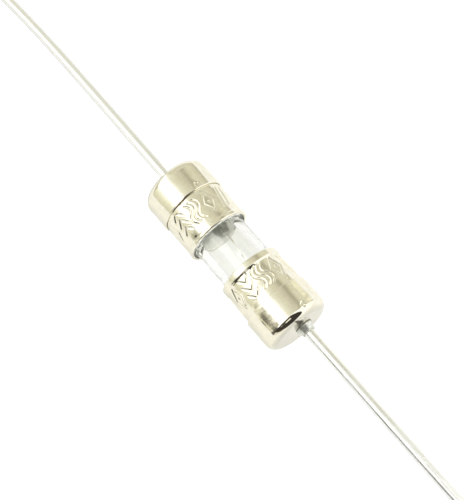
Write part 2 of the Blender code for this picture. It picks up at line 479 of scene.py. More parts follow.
@dataclass(frozen=True)
class Layout:
    """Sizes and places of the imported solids, in millimetres.

    Attributes:
        cap_end: Outer face of a lead cap, along the axis.
        cap_mouth: Open edge of a lead cap.
        cap_radius: Outer radius of a lead cap.
        ferrule_end: Outer face of a ferrule.
        ferrule_mouth: Open edge of a ferrule.
        ferrule_radius: Outer radius of a ferrule.
        glass_end: End of the glass tube.
        glass_radius: Outer radius of the glass tube.
        lead_side: Sideways place of each lead at its cap.
        tips: End of each lead.
        floor: Height of the floor.
    """

    cap_end: float
    cap_mouth: float
    cap_radius: float
    ferrule_end: float
    ferrule_mouth: float
    ferrule_radius: float
    glass_end: float
    glass_radius: float
    lead_side: dict[Side, float]
    tips: dict[Side, Vector]
    floor: float

    @classmethod
    def from_frame(cls, record: dict[str, Any]) -> "Layout":
        """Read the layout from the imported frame.

        Args:
            record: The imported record, whose mounts are the leads' ends.

        Returns:
            The layout.
        """
        cap_low, cap_high = (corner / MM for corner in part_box("lead_cap_b"))
        ferrule_low, ferrule_high = (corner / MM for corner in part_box("ferrule_b"))
        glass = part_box("glass_tube")[1] / MM
        mounts = {mount["name"]: Vector(mount["pos_m"]) / MM for mount in record["mounts"]}
        return cls(
            cap_end=cap_high.x,
            cap_mouth=cap_low.x,
            cap_radius=cap_high.z,
            ferrule_end=ferrule_high.x,
            ferrule_mouth=ferrule_low.x,
            ferrule_radius=ferrule_high.z,
            glass_end=glass.x,
            glass_radius=glass.z,
            lead_side={side: sum(c.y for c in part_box(side.node("lead_solder"))) / 2 / MM for side in Side},
            tips={side: mounts[side.node("lead_end")] for side in Side},
            floor=CAD_BOX[0].z / MM,
        )


class Graph:
    """Short ways to add nodes to one node tree."""

    def __init__(self, tree: bpy.types.NodeTree) -> None:
        """Work on a tree."""
        self.tree = tree

    def feed(self, socket: Socket, value: Any) -> None:
        """Link another node's output to an input, or set the input's value.

        Args:
            socket: The input.
            value: The output to link, or the value to set.
        """
        if isinstance(value, Socket):
            self.tree.links.new(value, socket)
        else:
            socket.default_value = (*value, 1.0) if socket.type == "RGBA" else value

    def fill(self, node: bpy.types.Node, values: dict[Any, Any]) -> None:
        """Feed inputs of a node, by their name or number."""
        for name, value in values.items():
            self.feed(node.inputs[name], value)

    def add(self, kind: str, values: dict[Any, Any] | None = None, **settings: Any) -> bpy.types.Node:
        """Add a node.

        Args:
            kind: Type of the node, without its prefix.
            values: What to feed its inputs, by their name or number.
            settings: Its properties.

        Returns:
            The node.
        """
        node = self.tree.nodes.new("ShaderNode" + kind)
        for name, setting in settings.items():
            setattr(node, name, setting)
        self.fill(node, values or {})
        return node

    def math(self, operation: str, first: Any, second: Any = 0.0) -> Socket:
        """Work out something from one or two numbers."""
        return self.add("Math", {0: first, 1: second}, operation=operation).outputs[0]

    def plus(self, *numbers: Any) -> Socket:
        """Add numbers up."""
        return reduce(lambda total, number: self.math("ADD", total, number), numbers)

    def times(self, *numbers: Any) -> Socket:
        """Multiply numbers."""
        return reduce(lambda product, number: self.math("MULTIPLY", product, number), numbers)

    def minus(self, first: Any, second: Any) -> Socket:
        """Take the second number from the first."""
        return self.math("SUBTRACT", first, second)

    def ramp(self, value: Any, low: float, high: float, to_low: float = 0.0, to_high: float = 1.0) -> Socket:
        """Carry a number between low and high smoothly over to between two others."""
        values = {"Value": value, "From Min": low, "From Max": high, "To Min": to_low, "To Max": to_high}
        return self.add("MapRange", values, interpolation_type="SMOOTHSTEP").outputs[0]

    def blend(self, share: Any, first: Any, second: Any) -> Socket:
        """Mix two colours and give the result."""
        return self.add("Mix", {0: share, 6: first, 7: second}, data_type="RGBA").outputs[2]

    def noise(self, place: Socket, scale: Any, detail: float, roughness: float = 0.5) -> Socket:
        """Add a soft noise and give its value."""
        values = {"Vector": place, "Scale": scale, "Detail": detail, "Roughness": roughness}
        return self.add("TexNoise", values).outputs[0]

    def vector(self, operation: str, values: dict[Any, Any], result: Any = 0) -> Socket:
        """Work out something from vectors and give one result."""
        return self.add("VectorMath", values, operation=operation).outputs[result]

    def vector_parts(self, vector: Socket) -> Sequence[Socket]:
        """Part a vector into its three numbers."""
        return self.add("SeparateXYZ", {0: vector}).outputs

    def bump(self, height: Socket) -> Socket:
        """Turn a height in micrometres into a normal."""
        return self.add("Bump", {"Distance": MM / 1000, "Height": height}).outputs[0]


@dataclass(frozen=True)
class Effect:
    """A surface effect: a node group with named inputs and outputs, built once and placed where it is used.

    Attributes:
        name: Name of the group.
        inputs: Name and default value of each number that it takes, beside the place on the surface.
        outputs: Names of the numbers that it gives.
        draw: Function that draws its nodes.
    """

    name: str
    inputs: dict[str, float]
    outputs: tuple[str, ...]
    draw: Callable[[Graph, dict[str, Socket]], dict[str, Socket]]

    def group(self) -> bpy.types.NodeTree:
        """Find the group, or build it the first time.

        Returns:
            The group.
        """
        if self.name in bpy.data.node_groups:
            return bpy.data.node_groups[self.name]
        tree = bpy.data.node_groups.new(self.name, "ShaderNodeTree")
        tree.interface.new_socket("Place", in_out="INPUT", socket_type="NodeSocketVector")
        for name, default in self.inputs.items():
            socket = tree.interface.new_socket(name, in_out="INPUT", socket_type="NodeSocketFloat")
            socket.default_value = default
        for name in self.outputs:
            tree.interface.new_socket(name, in_out="OUTPUT", socket_type="NodeSocketFloat")
        given = tree.nodes.new("NodeGroupInput")
        wanted = tree.nodes.new("NodeGroupOutput")
        results = self.draw(Graph(tree), {socket.name: socket for socket in given.outputs})
        for name, result in results.items():
            tree.links.new(result, wanted.inputs[name])
        return tree

    def place(self, graph: Graph, place: Socket, **values: float) -> dict[str, Socket]:
        """Put the effect in a material.

        Args:
            graph: The material's nodes.
            place: Place on the surface, in millimetres.
            values: Values of its inputs.

        Returns:
            Its outputs, by name.
        """
        node = graph.tree.nodes.new("ShaderNodeGroup")
        node.node_tree = self.group()
        graph.feed(node.inputs["Place"], place)
        for name, value in values.items():
            node.inputs[name.replace("_", " ").capitalize()].default_value = value
        return {socket.name: socket for socket in node.outputs}


def draw_mottle(graph: Graph, given: dict[str, Socket]) -> dict[str, Socket]:
    """Draw soft patches of two sizes.

    Args:
        graph: Nodes of the group.
        given: Its inputs.

    Returns:
        The patches, from 0 to 1.
    """
    large = graph.noise(given["Place"], given["Per mm"], 3.0)
    small = graph.noise(given["Place"], graph.times(given["Per mm"], 4.7), 2.0)
    both = graph.plus(large, graph.times(small, given["Fine share"]))
    middle = graph.times(graph.plus(given["Fine share"], 1.0), 0.5)
    away = graph.times(graph.minus(both, middle), given["Contrast"])
    return {"Patches": graph.ramp(away, -0.5, 0.5)}


def draw_lines(graph: Graph, given: dict[str, Socket]) -> dict[str, Socket]:
    """Draw the fine lines that a die leaves along a drawn piece.

    Args:
        graph: Nodes of the group.
        given: Its inputs.

    Returns:
        The lines, from 0 to 1.
    """
    squeeze = graph.add("CombineXYZ", {0: given["Run"], 1: 1.0, 2: 1.0})
    place = graph.vector("MULTIPLY", {0: given["Place"], 1: squeeze.outputs[0]})
    return {"Lines": graph.ramp(graph.noise(place, given["Per mm"], 2.0, 0.6), 0.3, 0.7)}


def draw_scratches(graph: Graph, given: dict[str, Socket]) -> dict[str, Socket]:
    """Draw a few hair scratches, thinned out by soft patches.

    Args:
        graph: Nodes of the group.
        given: Its inputs.

    Returns:
        The scratches, from 0 to 1.
    """
    values = {"Vector": given["Place"], "Rotation": (0.4, 0.7, 0.2), "Scale": (0.35, 1.6, 1.1)}
    noise = graph.noise(graph.add("Mapping", values).outputs[0], given["Per mm"], 1.0)
    off_middle = graph.math("ABSOLUTE", graph.minus(noise, 0.5))
    hairs = graph.ramp(graph.math("DIVIDE", off_middle, given["Width"]), 1.0, 0.0)
    patches = graph.noise(given["Place"], 1.3, 1.0)
    return {"Scratches": graph.times(hairs, graph.ramp(patches, 0.48, 0.62))}


def draw_rub(graph: Graph, given: dict[str, Socket]) -> dict[str, Socket]:
    """Draw the rubbed line along raised edges, broken up by a noise.

    Args:
        graph: Nodes of the group.
        given: Its inputs.

    Returns:
        The rubbed edges, from 0 to 1.
    """
    raised = graph.ramp(graph.add("NewGeometry").outputs["Pointiness"], 0.505, 0.56)
    broken = graph.ramp(graph.noise(given["Place"], given["Per mm"], 2.0), 0.35, 0.6)
    return {"Rubbed": graph.times(raised, broken)}


def draw_pits(graph: Graph, given: dict[str, Socket]) -> dict[str, Socket]:
    """Draw small pits scattered over a surface, from 0 to 1."""
    cells = graph.add("TexVoronoi", {"Vector": given["Place"], "Scale": given["Per mm"]})
    return {"Pits": graph.ramp(graph.math("DIVIDE", cells.outputs["Distance"], given["Width"]), 1.0, 0.2)}


MOTTLE = Effect("Mottle", {"Per mm": 1.0, "Fine share": 0.5, "Contrast": 1.5}, ("Patches",), draw_mottle)
DIE_LINES = Effect("Die lines", {"Per mm": 20.0, "Run": 0.05}, ("Lines",), draw_lines)
SCRATCHES = Effect("Scratches", {"Per mm": 2.0, "Width": 0.01}, ("Scratches",), draw_scratches)
EDGE_RUB = Effect("Edge rub", {"Per mm": 3.0}, ("Rubbed",), draw_rub)
PITS = Effect("Pits", {"Per mm": 4.0, "Width": 0.2}, ("Pits",), draw_pits)


def place_in_mm(graph: Graph) -> Socket:
    """Place on the surface, in millimetres from the body's middle."""
    return graph.vector("SCALE", {0: graph.add("TexCoord").outputs["Object"], "Scale": 1 / MM})


def new_surface(name: str) -> tuple[bpy.types.Material, Graph, bpy.types.Node]:
    """Start a material.

    Args:
        name: Its name.

    Returns:
        The material, its nodes and its shader.
    """
    made = bpy.data.materials.new(name)
    made.use_nodes = True
    return made, Graph(made.node_tree), made.node_tree.nodes["Principled BSDF"]


@dataclass(frozen=True)
class MetalFinish:
    """A bare, plated or soldered metal surface.

    Attributes:
        name: Name of the material.
        slot: The record's material slot; nothing reads it.
        bright: Colour where it is untarnished.
        dull: Colour where it is tarnished.
        rubbed: Colour of rubbed edges.
        roughness: Roughness where it is untarnished.
        dull_roughness: Roughness where it is tarnished.
        patches: Patches of tarnish to the millimetre.
        contrast: How sharply tarnish and clean metal part.
        lines: Height of the die lines, in micrometres.
        dimples: Height of the soft dimples, in micrometres.
        dimple_size: Dimples to the millimetre.
        pits: Depth of the pits, in micrometres.
        scratches: How much the scratches roughen it.
        film_within: Distance from the fuse's axis within which a pale matt film covers the metal.
        film: Colour of that film.
        film_edge: Width of its soft edge.
        film_roughness: How much the film roughens the metal.
        painted_shade_before: Distance from the fuse's middle before which the film at both sides is darkened,
            a painted shade for the wall by the mouth seen at a grazing angle through the glass.
        painted_shade_beside: Distances along Y between which that painted shade grows.
        painted_shade_fade: Length over which it ends.
        painted_shade: Colour of the film in that painted shade.
        end_shade_past: Distance from the fuse's middle past which the metal is darkened, a painted shade for
            the shaded floor that the cap's end mirrors.
        end_shade: Colour of the metal there.
        end_shade_fade: Length over which that painted shade grows.
        spot_place: Middle of its one darker spot.
        spot_radius: Radius of that spot.
        spot: Colour of the spot.
        strongest: Greatest share of the painted end shade's and the spot's colours.
    """

    name: str
    slot: str
    bright: Colour
    dull: Colour
    rubbed: Colour
    roughness: float
    dull_roughness: float
    patches: float = 1.2
    contrast: float = 1.6
    lines: float = 0.3
    dimples: float = 4.0
    dimple_size: float = 4.0
    pits: float = 0.0
    scratches: float = 0.2
    film_within: float = 0.0
    film: Colour = (0.96, 0.96, 0.92)
    film_edge: float = 0.02
    film_roughness: float = 0.7
    painted_shade_before: float = 0.0
    painted_shade_beside: tuple[float, float] = (1.42, 1.50)
    painted_shade_fade: float = 0.08
    painted_shade: Colour = (0.24, 0.24, 0.21)
    end_shade_past: float = 0.0
    end_shade: Colour = (0.69, 0.665, 0.565)
    end_shade_fade: float = 0.25
    spot_place: tuple[float, float, float] = (0.0, 0.0, 0.0)
    spot_radius: float = 0.0
    spot: Colour = (0.38, 0.36, 0.28)
    strongest: float = 0.9

    def material(self) -> bpy.types.Material:
        """Make the material.

        Returns:
            The material, with colour, roughness and bump that change over the surface.
        """
        made, graph, shader = new_surface(self.name)
        shader.inputs["Metallic"].default_value = 1.0
        place = place_in_mm(graph)
        along, across, _ = graph.vector_parts(graph.vector("ABSOLUTE", {0: place}))
        tarnish = MOTTLE.place(graph, place, per_mm=self.patches, contrast=self.contrast)["Patches"]
        scratches = SCRATCHES.place(graph, place)["Scratches"]
        rubbed = EDGE_RUB.place(graph, place)["Rubbed"]
        colour = graph.blend(tarnish, self.bright, self.dull)
        colour = graph.blend(rubbed, colour, self.rubbed)
        # Painted shade: the cap's end is blended to a darker colour, standing in for the shaded floor that it
        # mirrors.
        if self.end_shade_past:
            full = self.end_shade_past + self.end_shade_fade
            end_shaded = graph.ramp(along, self.end_shade_past, full, 0.0, self.strongest)
            colour = graph.blend(end_shaded, colour, self.end_shade)
        if self.spot_radius:
            away = graph.vector("DISTANCE", {0: place, 1: self.spot_place}, "Value")
            away = graph.plus(away, graph.times(tarnish, 0.4 * self.spot_radius))
            spotted = graph.ramp(away, 0.3 * self.spot_radius, self.spot_radius, self.strongest, 0.0)
            colour = graph.blend(spotted, colour, self.spot)
        rough = graph.ramp(tarnish, 0.0, 1.0, self.roughness, self.dull_roughness)
        rough = graph.plus(rough, graph.times(scratches, self.scratches))
        if self.film_within:
            off_axis = graph.vector("MULTIPLY", {0: place, 1: (0.0, 1.0, 1.0)})
            off_axis = graph.vector("LENGTH", {0: off_axis}, "Value")
            bare = graph.ramp(off_axis, self.film_within - self.film_edge, self.film_within)
            graph.feed(shader.inputs["Metallic"], bare)
            rough = graph.plus(rough, graph.times(graph.minus(1.0, bare), self.film_roughness))
            # Painted shade: the film at the mouth's inner edge is darkened at both sides, where that wall,
            # seen through the glass, lies in shade.
            unshaded_film = graph.ramp(along, self.painted_shade_before, self.painted_shade_before + self.painted_shade_fade)
            unshaded_film = graph.math("MAXIMUM", unshaded_film, graph.ramp(across, *self.painted_shade_beside, 1.0, 0.0))
            colour = graph.blend(bare, graph.blend(unshaded_film, self.painted_shade, self.film), colour)
        height = graph.times(graph.noise(place, self.dimple_size, 2.0), self.dimples)
        if self.lines:
            height = graph.plus(height, graph.times(DIE_LINES.place(graph, place)["Lines"], self.lines))
            height = graph.minus(height, graph.times(scratches, 2 * self.lines))
        if self.pits:
            height = graph.minus(height, graph.times(PITS.place(graph, place)["Pits"], self.pits))
        graph.fill(shader, {"Base Color": colour, "Roughness": rough, "Normal": graph.bump(height)})
        return made


@dataclass(frozen=True)
class GlassFinish:
    """Clear drawn glass with faint lines along it.

    Attributes:
        name: Name of the material.
        slot: The record's material slot; nothing reads it.
        tint: Colour of the glass.
        haze: Colour of its faintly hazed patches.
        lines: Height of its die lines, in micrometres.
    """

    name: str = "Clear drawn glass"
    slot: str = "clear_glass"
    tint: Colour = (0.915, 0.92, 0.89)
    haze: Colour = (0.885, 0.89, 0.86)
    lines: float = 4.0

    def material(self) -> bpy.types.Material:
        """Make the material.

        Returns:
            The material, with its tint, roughness and bump from the effects.
        """
        made, graph, shader = new_surface(self.name)
        graph.fill(shader, {"Transmission Weight": 1.0, "IOR": 1.5})
        place = place_in_mm(graph)
        patches = MOTTLE.place(graph, place, per_mm=0.8, contrast=1.5)["Patches"]
        lines = DIE_LINES.place(graph, place, per_mm=3.0, run=0.04)["Lines"]
        tint = graph.blend(patches, self.tint, self.haze)
        rough = graph.ramp(patches, 0.0, 1.0, 0.0, 0.03)
        normal = graph.bump(graph.times(lines, self.lines))
        graph.fill(shader, {"Base Color": tint, "Roughness": rough, "Normal": normal})
        return made


NICKEL = (0.905, 0.870, 0.715)
NICKEL_DULL = (0.845, 0.805, 0.640)
NICKEL_RUBBED = (0.925, 0.900, 0.780)

# Its film gets a painted shade at the sides of the mouth.
FERRULE_NICKEL = MetalFinish(
    "Bright ferrule nickel", "ferrule_nickel", NICKEL, NICKEL_DULL, NICKEL_RUBBED, 0.07, 0.13,
    dimple_size=3.0, film_within=1.72, painted_shade_before=1.30,
    spot_place=(-1.62, -1.18, 1.36), spot_radius=0.50,
)
# Its end gets a painted shade for the shaded floor that it mirrors.
CAP_NICKEL = MetalFinish(
    "Bright cap nickel", "cap_nickel", NICKEL, NICKEL_DULL, NICKEL_RUBBED, 0.06, 0.11,
    lines=0.2, dimple_size=3.0, end_shade_past=5.20,
)
TIN = MetalFinish(
    "Drawn tin", "tinned_lead", (0.99, 0.99, 0.96), (0.94, 0.95, 0.90), (0.99, 0.99, 0.97), 0.22, 0.32,
    patches=0.9, lines=1.2, dimples=2.0, dimple_size=1.5,
)
OUTER_SOLDER = MetalFinish(
    "Outer solder", "outer_solder", (0.80, 0.81, 0.73), (0.42, 0.43, 0.37), (0.86, 0.86, 0.80), 0.28, 0.50,
    patches=3.0, contrast=2.0, lines=0.0, pits=4.0,
)
INNER_SOLDER = MetalFinish(
    "Inner solder", "inner_solder", (0.80, 0.82, 0.74), (0.50, 0.52, 0.47), (0.84, 0.84, 0.79), 0.26, 0.40,
    patches=2.4, contrast=2.2, lines=0.0, dimples=14.0,
)
FUSE_ALLOY = MetalFinish(
    "Drawn fuse alloy", "fuse_alloy", (0.99, 0.98, 0.95), (0.95, 0.94, 0.90), (0.99, 0.98, 0.96), 0.16, 0.26,
    dimples=0.4,
)
CLEAR_GLASS = GlassFinish()
Finish = MetalFinish | GlassFinish


@dataclass
class Piece:
    """What every piece of the fuse has in common.

    Attributes:
        layout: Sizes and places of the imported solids.
    """

    layout: Layout

    def dress(self, piece: Object, node: str, finish: Finish) -> Object:
        """Give a piece its finish and let it stand for its solid.

        Args:
            piece: The piece.
            node: Name of the solid that it replaces.
            finish: Its surface.

        Returns:
            The piece.
        """
        material = bpy.data.materials.get(finish.name) or finish.material()
        piece.data.materials.append(material)
        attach(piece, BODY)
        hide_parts(node)
        LOG.info("%s stands for %s with %d faces", piece.name, node, len(piece.data.polygons))
        return piece


@dataclass
class EndPiece(Piece):
    """A piece that the fuse has one of at each end.

    Attributes:
        side: Which end it is at.
        steps: Faces round it.
    """

    side: Side
    steps: int = 96

    def turn(self, name: str, node: str, finish: Finish, rings: list[Ring], **more: Any) -> Object:
        """Turn a body from its rings and dress it. Both names are given without their end."""
        body = TurnedBody(self.side.node(name), self.side, rings, self.steps, **more)
        return self.dress(body.build(), self.side.node(node), finish)


@dataclass
class GlassTube(Piece):
    """The clear tube between the ferrules, its cut ends fire polished.

    Attributes:
        bore: Radius of its bore.
        edge: Radius of its polished edges.
        steps: Faces round it.
        wander: Unevenness of its outer surface.
    """

    bore: float = 1.05
    edge: float = 0.08
    steps: int = 192
    wander: Unevenness = Unevenness(seed=3, height=0.002, most_round=5, shortest=4.0)

    def build(self) -> Object:
        """Make the tube.

        Returns:
            The piece.
        """
        edge, end = self.edge, self.layout.glass_end
        outer = self.layout.glass_radius - self.wander.height - edge
        inner = self.bore + edge
        rings = bend(end - edge, outer, edge, 90, 0, 6)
        level = end - 2 * edge
        rings += stretch(Ring(level, outer + edge, 0, 1), Ring(-level, outer + edge, 0, 1), 60)
        rings += bend(edge - end, outer, edge, 0, -90, 6)
        rings += bend(edge - end, inner, edge, -90, -180, 6, relief=0.0)
        rings += stretch(Ring(-level, self.bore), Ring(level, self.bore), 30)
        rings += bend(end - edge, inner, edge, 180, 90, 6, relief=0.0)[:-1]
        tube = TurnedBody("clear_glass_tube", Side.B, rings, self.steps, relief=self.wander)
        return self.dress(tube.build(), "glass_tube", CLEAR_GLASS)


@dataclass
class Ferrule(EndPiece):
    """A deep nickel plated cup on the end of the tube, with its stamped band.

    Attributes:
        wall: Thickness of its wall.
        end_wall: Thickness of its closed end.
        core: Radius of the flats that close its profile.
        lip: How far its blunt lip stands out.
        solid_lip: How far the solid's lip stands out.
        spare: How far the lip stays within the solid's radius, or below zero stands out of it.
        sunk: How far the part under the cap stays within it.
        overlap: How far past the cap's mouth that part starts.
        growth: Length by the cap's mouth over which it grows to its shown radius.
        taper: How much it narrows from there to the flare.
        lip_length: Length of the lip.
        lip_round: Radius of the lip's outer edge.
        inner_edge: Width of its mouth's broken inner edge.
        flare: Length of the flare that leads up to the lip.
        corner: Radius of its outer corner.
        band_steps: Rings along the part that shows.
        marks: The marks stamped into it.
        first_mark: Angle of the first mark, in degrees.
        band_place: Place of the band along the axis.
        dents: Its dents, each by place along the axis and angle.
    """

    wall: float = 0.24
    end_wall: float = 0.20
    core: float = 0.3
    lip: dict[Side, float] = by_side(0.03, 0.045)
    solid_lip: float = 0.03
    spare: dict[Side, float] = by_side(-0.025, -0.018)
    sunk: dict[Side, float] = by_side(0.035, 0.015)
    overlap: float = 0.12
    growth: float = 0.30
    taper: dict[Side, float] = by_side(0.0, 0.050)
    lip_length: dict[Side, float] = by_side(0.18, 0.34)
    lip_round: float = 0.06
    inner_edge: float = 0.03
    flare: dict[Side, float] = by_side(0.10, 0.15)
    corner: float = 0.30
    steps: int = 480
    band_steps: int = 92
    marks: tuple[Mark, ...] = (
        Mark.WAVE, Mark.LOZENGE, Mark.BARS, Mark.CHEVRON, Mark.HATCH, Mark.WAVE,
        Mark.CHEVRON, Mark.LOZENGE, Mark.HATCH, Mark.BARS, Mark.LOZENGE, Mark.CHEVRON,
    )
    first_mark: dict[Side, float] = by_side(-14.0, 2.0)
    band_place: dict[Side, float] = by_side(2.56, 2.42)
    dents: dict[Side, tuple[tuple[float, float], ...]] = by_side(((1.43, 319.0),), ())

    def relief(self) -> Relief:
        """Add the stamped band and a dent to the soft unevenness of the wall.

        Returns:
            The height by place and angle.
        """
        radius = self.layout.ferrule_radius
        stamped = StampedBand(radius, self.band_place[self.side], self.first_mark[self.side], self.marks)
        soft = Unevenness(seed=11 + self.side.value, height=0.008, most_round=6, shortest=1.4)
        dented = Dents(radius, self.dents[self.side], size=0.13)
        return lambda out, angle: stamped(out, angle) + soft(out, angle) + dented(out, angle)

    def build(self) -> Object:
        """Make the ferrule.

        Returns:
            The piece.
        """
        layout, side = self.layout, self.side
        end, mouth, turn = layout.ferrule_end, layout.ferrule_mouth, self.lip_round
        lip, flare = self.lip[side], self.flare[side]
        hidden = layout.ferrule_radius - self.sunk[side]
        outside = layout.ferrule_radius - lip - self.spare[side]
        waist = outside - self.taper[side]
        rim = waist + lip - turn
        inside = layout.ferrule_radius - self.solid_lip - self.wall
        lip_top = mouth + self.lip_length[side]
        flare_top = lip_top + flare
        floor = end - self.end_wall
        grown = Ring(layout.cap_mouth - self.growth, outside, 0, 1)
        rings = [Ring(end, self.core)]
        rings += bend(end - self.corner, hidden - self.corner, self.corner, 90, 0, 6)
        rings += [Ring(layout.cap_mouth + self.overlap, hidden, 0, 1)]
        rings += stretch(Ring(layout.cap_mouth, (hidden + outside) / 2, 0, 1), grown, 10)[:-1]
        rings += stretch(grown, Ring(flare_top + 0.02, waist, 0, 1), self.band_steps)
        for part in (i / 12 for i in range(13)):
            rings.append(Ring(flare_top - flare * part, waist + lip * smooth(part), 0, 1 - part / 2))
        rings += [Ring(place, waist + lip, 0, 0.5) for place in (lip_top - 0.04, mouth + turn + 0.02)]
        rings += bend(mouth + turn, rim, turn, 0, -90, 8, relief=0.5)
        rings += stretch(Ring(mouth, rim, 0, 0.5), Ring(mouth, inside + self.inner_edge), 3)[1:]
        rings += [Ring(mouth + self.inner_edge, inside)]
        rings += stretch(Ring(flare_top, inside), Ring(floor - 0.2, inside), 8)
        rings += [Ring(floor, inside - 0.07), Ring(floor, self.core)]
        more = {"looped": False, "relief": self.relief()}
        return self.turn("stamped_ferrule", "ferrule", FERRULE_NICKEL, rings, **more)


@dataclass
class LeadCap(EndPiece):
    """A thin cup pressed over the ferrule, with the hole that the lead leaves by.

    Attributes:
        wall: Thickness of its wall.
        end_wall: Thickness of its closed end.
        corner: Radius of its outer corner.
        mouth_round: Radius of its mouth's outer edge.
        turned_in: How far its mouth is turned in towards the ferrule.
        wavy_length: How far from its mouth the mouth's waves reach.
        crown: How far the middle of its wall stands out.
        hole: Radius of its hole.
        centred_from: Radius from which the inside of its end is round the fuse's axis, not the hole's.
        dents: Its small dents.
    """

    wall: float = 0.10
    end_wall: float = 0.16
    corner: float = 0.50
    mouth_round: float = 0.045
    turned_in: float = 0.01
    wavy_length: float = 0.25
    crown: dict[Side, float] = by_side(0.0, 0.008)
    hole: float = 0.32
    centred_from: float = 1.2
    dents: dict[Side, Dents] = by_side(
        Dents(1.93, ((3.66, 16.0), (3.62, 19.5), (3.80, 17.5), (3.72, 22.0))),
        Dents(1.93, ((4.82, 21.0), (4.90, 18.0), (5.02, 20.0), (5.10, 16.5))),
    )
    steps: int = 360

    def build(self) -> Object:
        """Make the cap.

        Returns:
            The piece.
        """
        layout, side = self.layout, self.side
        soft = Unevenness(seed=31 + side.value, height=0.012, most_round=5, shortest=1.3)
        wavy = Unevenness(seed=41 + side.value, height=0.02, most_round=16)
        dented, crown, shift = self.dents[side], self.crown[side], layout.lead_side[side]
        end, mouth, lip = layout.cap_end, layout.cap_mouth, self.mouth_round
        outside = layout.cap_radius - soft.height - crown
        inside = layout.cap_radius - self.wall
        bend_out, flat = end - self.corner, outside - self.corner
        centre, half = (bend_out + mouth + lip) / 2, (bend_out - mouth - lip) / 2
        inner_corner, inner_end = self.corner - self.wall, end - self.end_wall
        rings = bend(mouth + lip, outside - lip, lip, -90, 0, 8, relief=1.0)
        rings += stretch(Ring(mouth + 1.2 * lip, outside, 0, 1), Ring(bend_out - 0.02, outside, 0, 1), 36)
        rings += bend(bend_out, flat, self.corner, 0, 90, 20)
        rings += stretch(Ring(end, flat), Ring(end, self.hole + 0.03, shift), 10)[1:]
        rings += [Ring(end - 0.02, self.hole, shift), Ring(inner_end, self.hole, shift)]
        rings += stretch(Ring(inner_end, self.hole + 0.05, shift), Ring(inner_end, self.centred_from), 4)
        rings += bend(inner_end - inner_corner, inside - inner_corner, inner_corner, 90, 0, 6, relief=0.0)
        rings += [Ring(mouth + 0.6, inside), Ring(mouth + 0.2, inside)]
        rings += [Ring(mouth + 0.02, inside - self.turned_in), Ring(mouth, inside - self.turned_in + 0.01)]

        def relief(out: np.ndarray, angle: np.ndarray) -> np.ndarray:
            """Add dents and the crown to the soft unevenness."""
            crowned = crown * np.clip(1.0 - ((out - centre) / half) ** 2, 0.0, 1.0)
            return soft(out, angle) + dented(out, angle) + crowned

        def sway(out: np.ndarray, angle: np.ndarray) -> np.ndarray:
            """Let the mouth's edge wander along the axis."""
            return wavy(0.0 * out, angle) * np.exp(-(((out - mouth) / self.wavy_length) ** 2))

        return self.turn("pressed_cap", "lead_cap", CAP_NICKEL, rings, relief=relief, sway=sway)


@dataclass
class Lead(EndPiece):
    """A tinned lead with its flat head inside the cap.

    It leaves its cap level and a little askew, droops in a plane that leans towards +Y, and drifts to its
    own side near its tip.

    Attributes:
        radius: Radius of the wire.
        straight: Length of its level start.
        droop_power: How late it droops.
        lean: Sideways share of the droop.
        drift_power: How late it drifts.
        splay: How much it runs askew.
        edge: Width of the broken edges of its head and its tip.
        head_radius: Radius of its head.
        head_seat: Distance of the head's inner face from the cap's outer face.
        head_top: Distance of the head's outer face from it.
        stations: Rings along the wire.
    """

    radius: float = 0.30
    straight: float = 1.5
    droop_power: float = 1.5
    lean: float = 0.176
    drift_power: float = 4.0
    splay: dict[Side, float] = by_side(-0.0020, 0.0065)
    edge: float = 0.02
    head_radius: float = 0.60
    head_seat: float = -0.33
    head_top: float = -0.18
    steps: int = 40
    stations: int = 260

    def places(self, out: np.ndarray) -> np.ndarray:
        """Points of the lead's centre line.

        Args:
            out: Distances from the cap's outer face along the axis.

        Returns:
            The points, in millimetres.
        """
        layout, side = self.layout, self.side
        tip = layout.tips[side]
        start = layout.lead_side[side]
        length = abs(tip.x) - layout.cap_end
        part = np.clip((out - self.straight) / (length - self.straight), 0.0, 1.0)
        droop = tip.z * part**self.droop_power
        askew = start + self.splay[side] * np.maximum(out, 0.0)
        drift = tip.y - start - self.splay[side] * length + self.lean * tip.z
        across = askew - self.lean * droop + drift * part**self.drift_power
        return np.stack([side.value * (layout.cap_end + out), across, droop], axis=-1)

    def build(self) -> Object:
        """Make the lead.

        Returns:
            The piece.
        """
        side, edge = self.side, self.edge
        length = abs(self.layout.tips[side].x) - self.layout.cap_end - edge / 2
        head = [
            (self.head_seat, self.head_radius - edge),
            (self.head_seat + edge, self.head_radius),
            (self.head_top - edge, self.head_radius),
            (self.head_top - edge / 2, self.head_radius - edge),
            (self.head_top, self.radius),
        ]
        shank = np.linspace(self.head_top + edge, length - 2 * edge, self.stations)
        soft = Unevenness(seed=51 + side.value, height=0.003, most_round=0, shortest=1.2)
        thinned = self.radius - soft.height + soft(shank, np.zeros_like(shank))
        outs = np.concatenate([[place for place, _ in head], shank, [length]])
        radii = np.concatenate([[radius for _, radius in head], thinned, [self.radius - 2.5 * edge]])
        wire = DrawnWire(side.node("drawn_lead"), self.places(outs), radii, self.steps)
        return self.dress(wire.build(), side.node("lead_wire"), TIN)


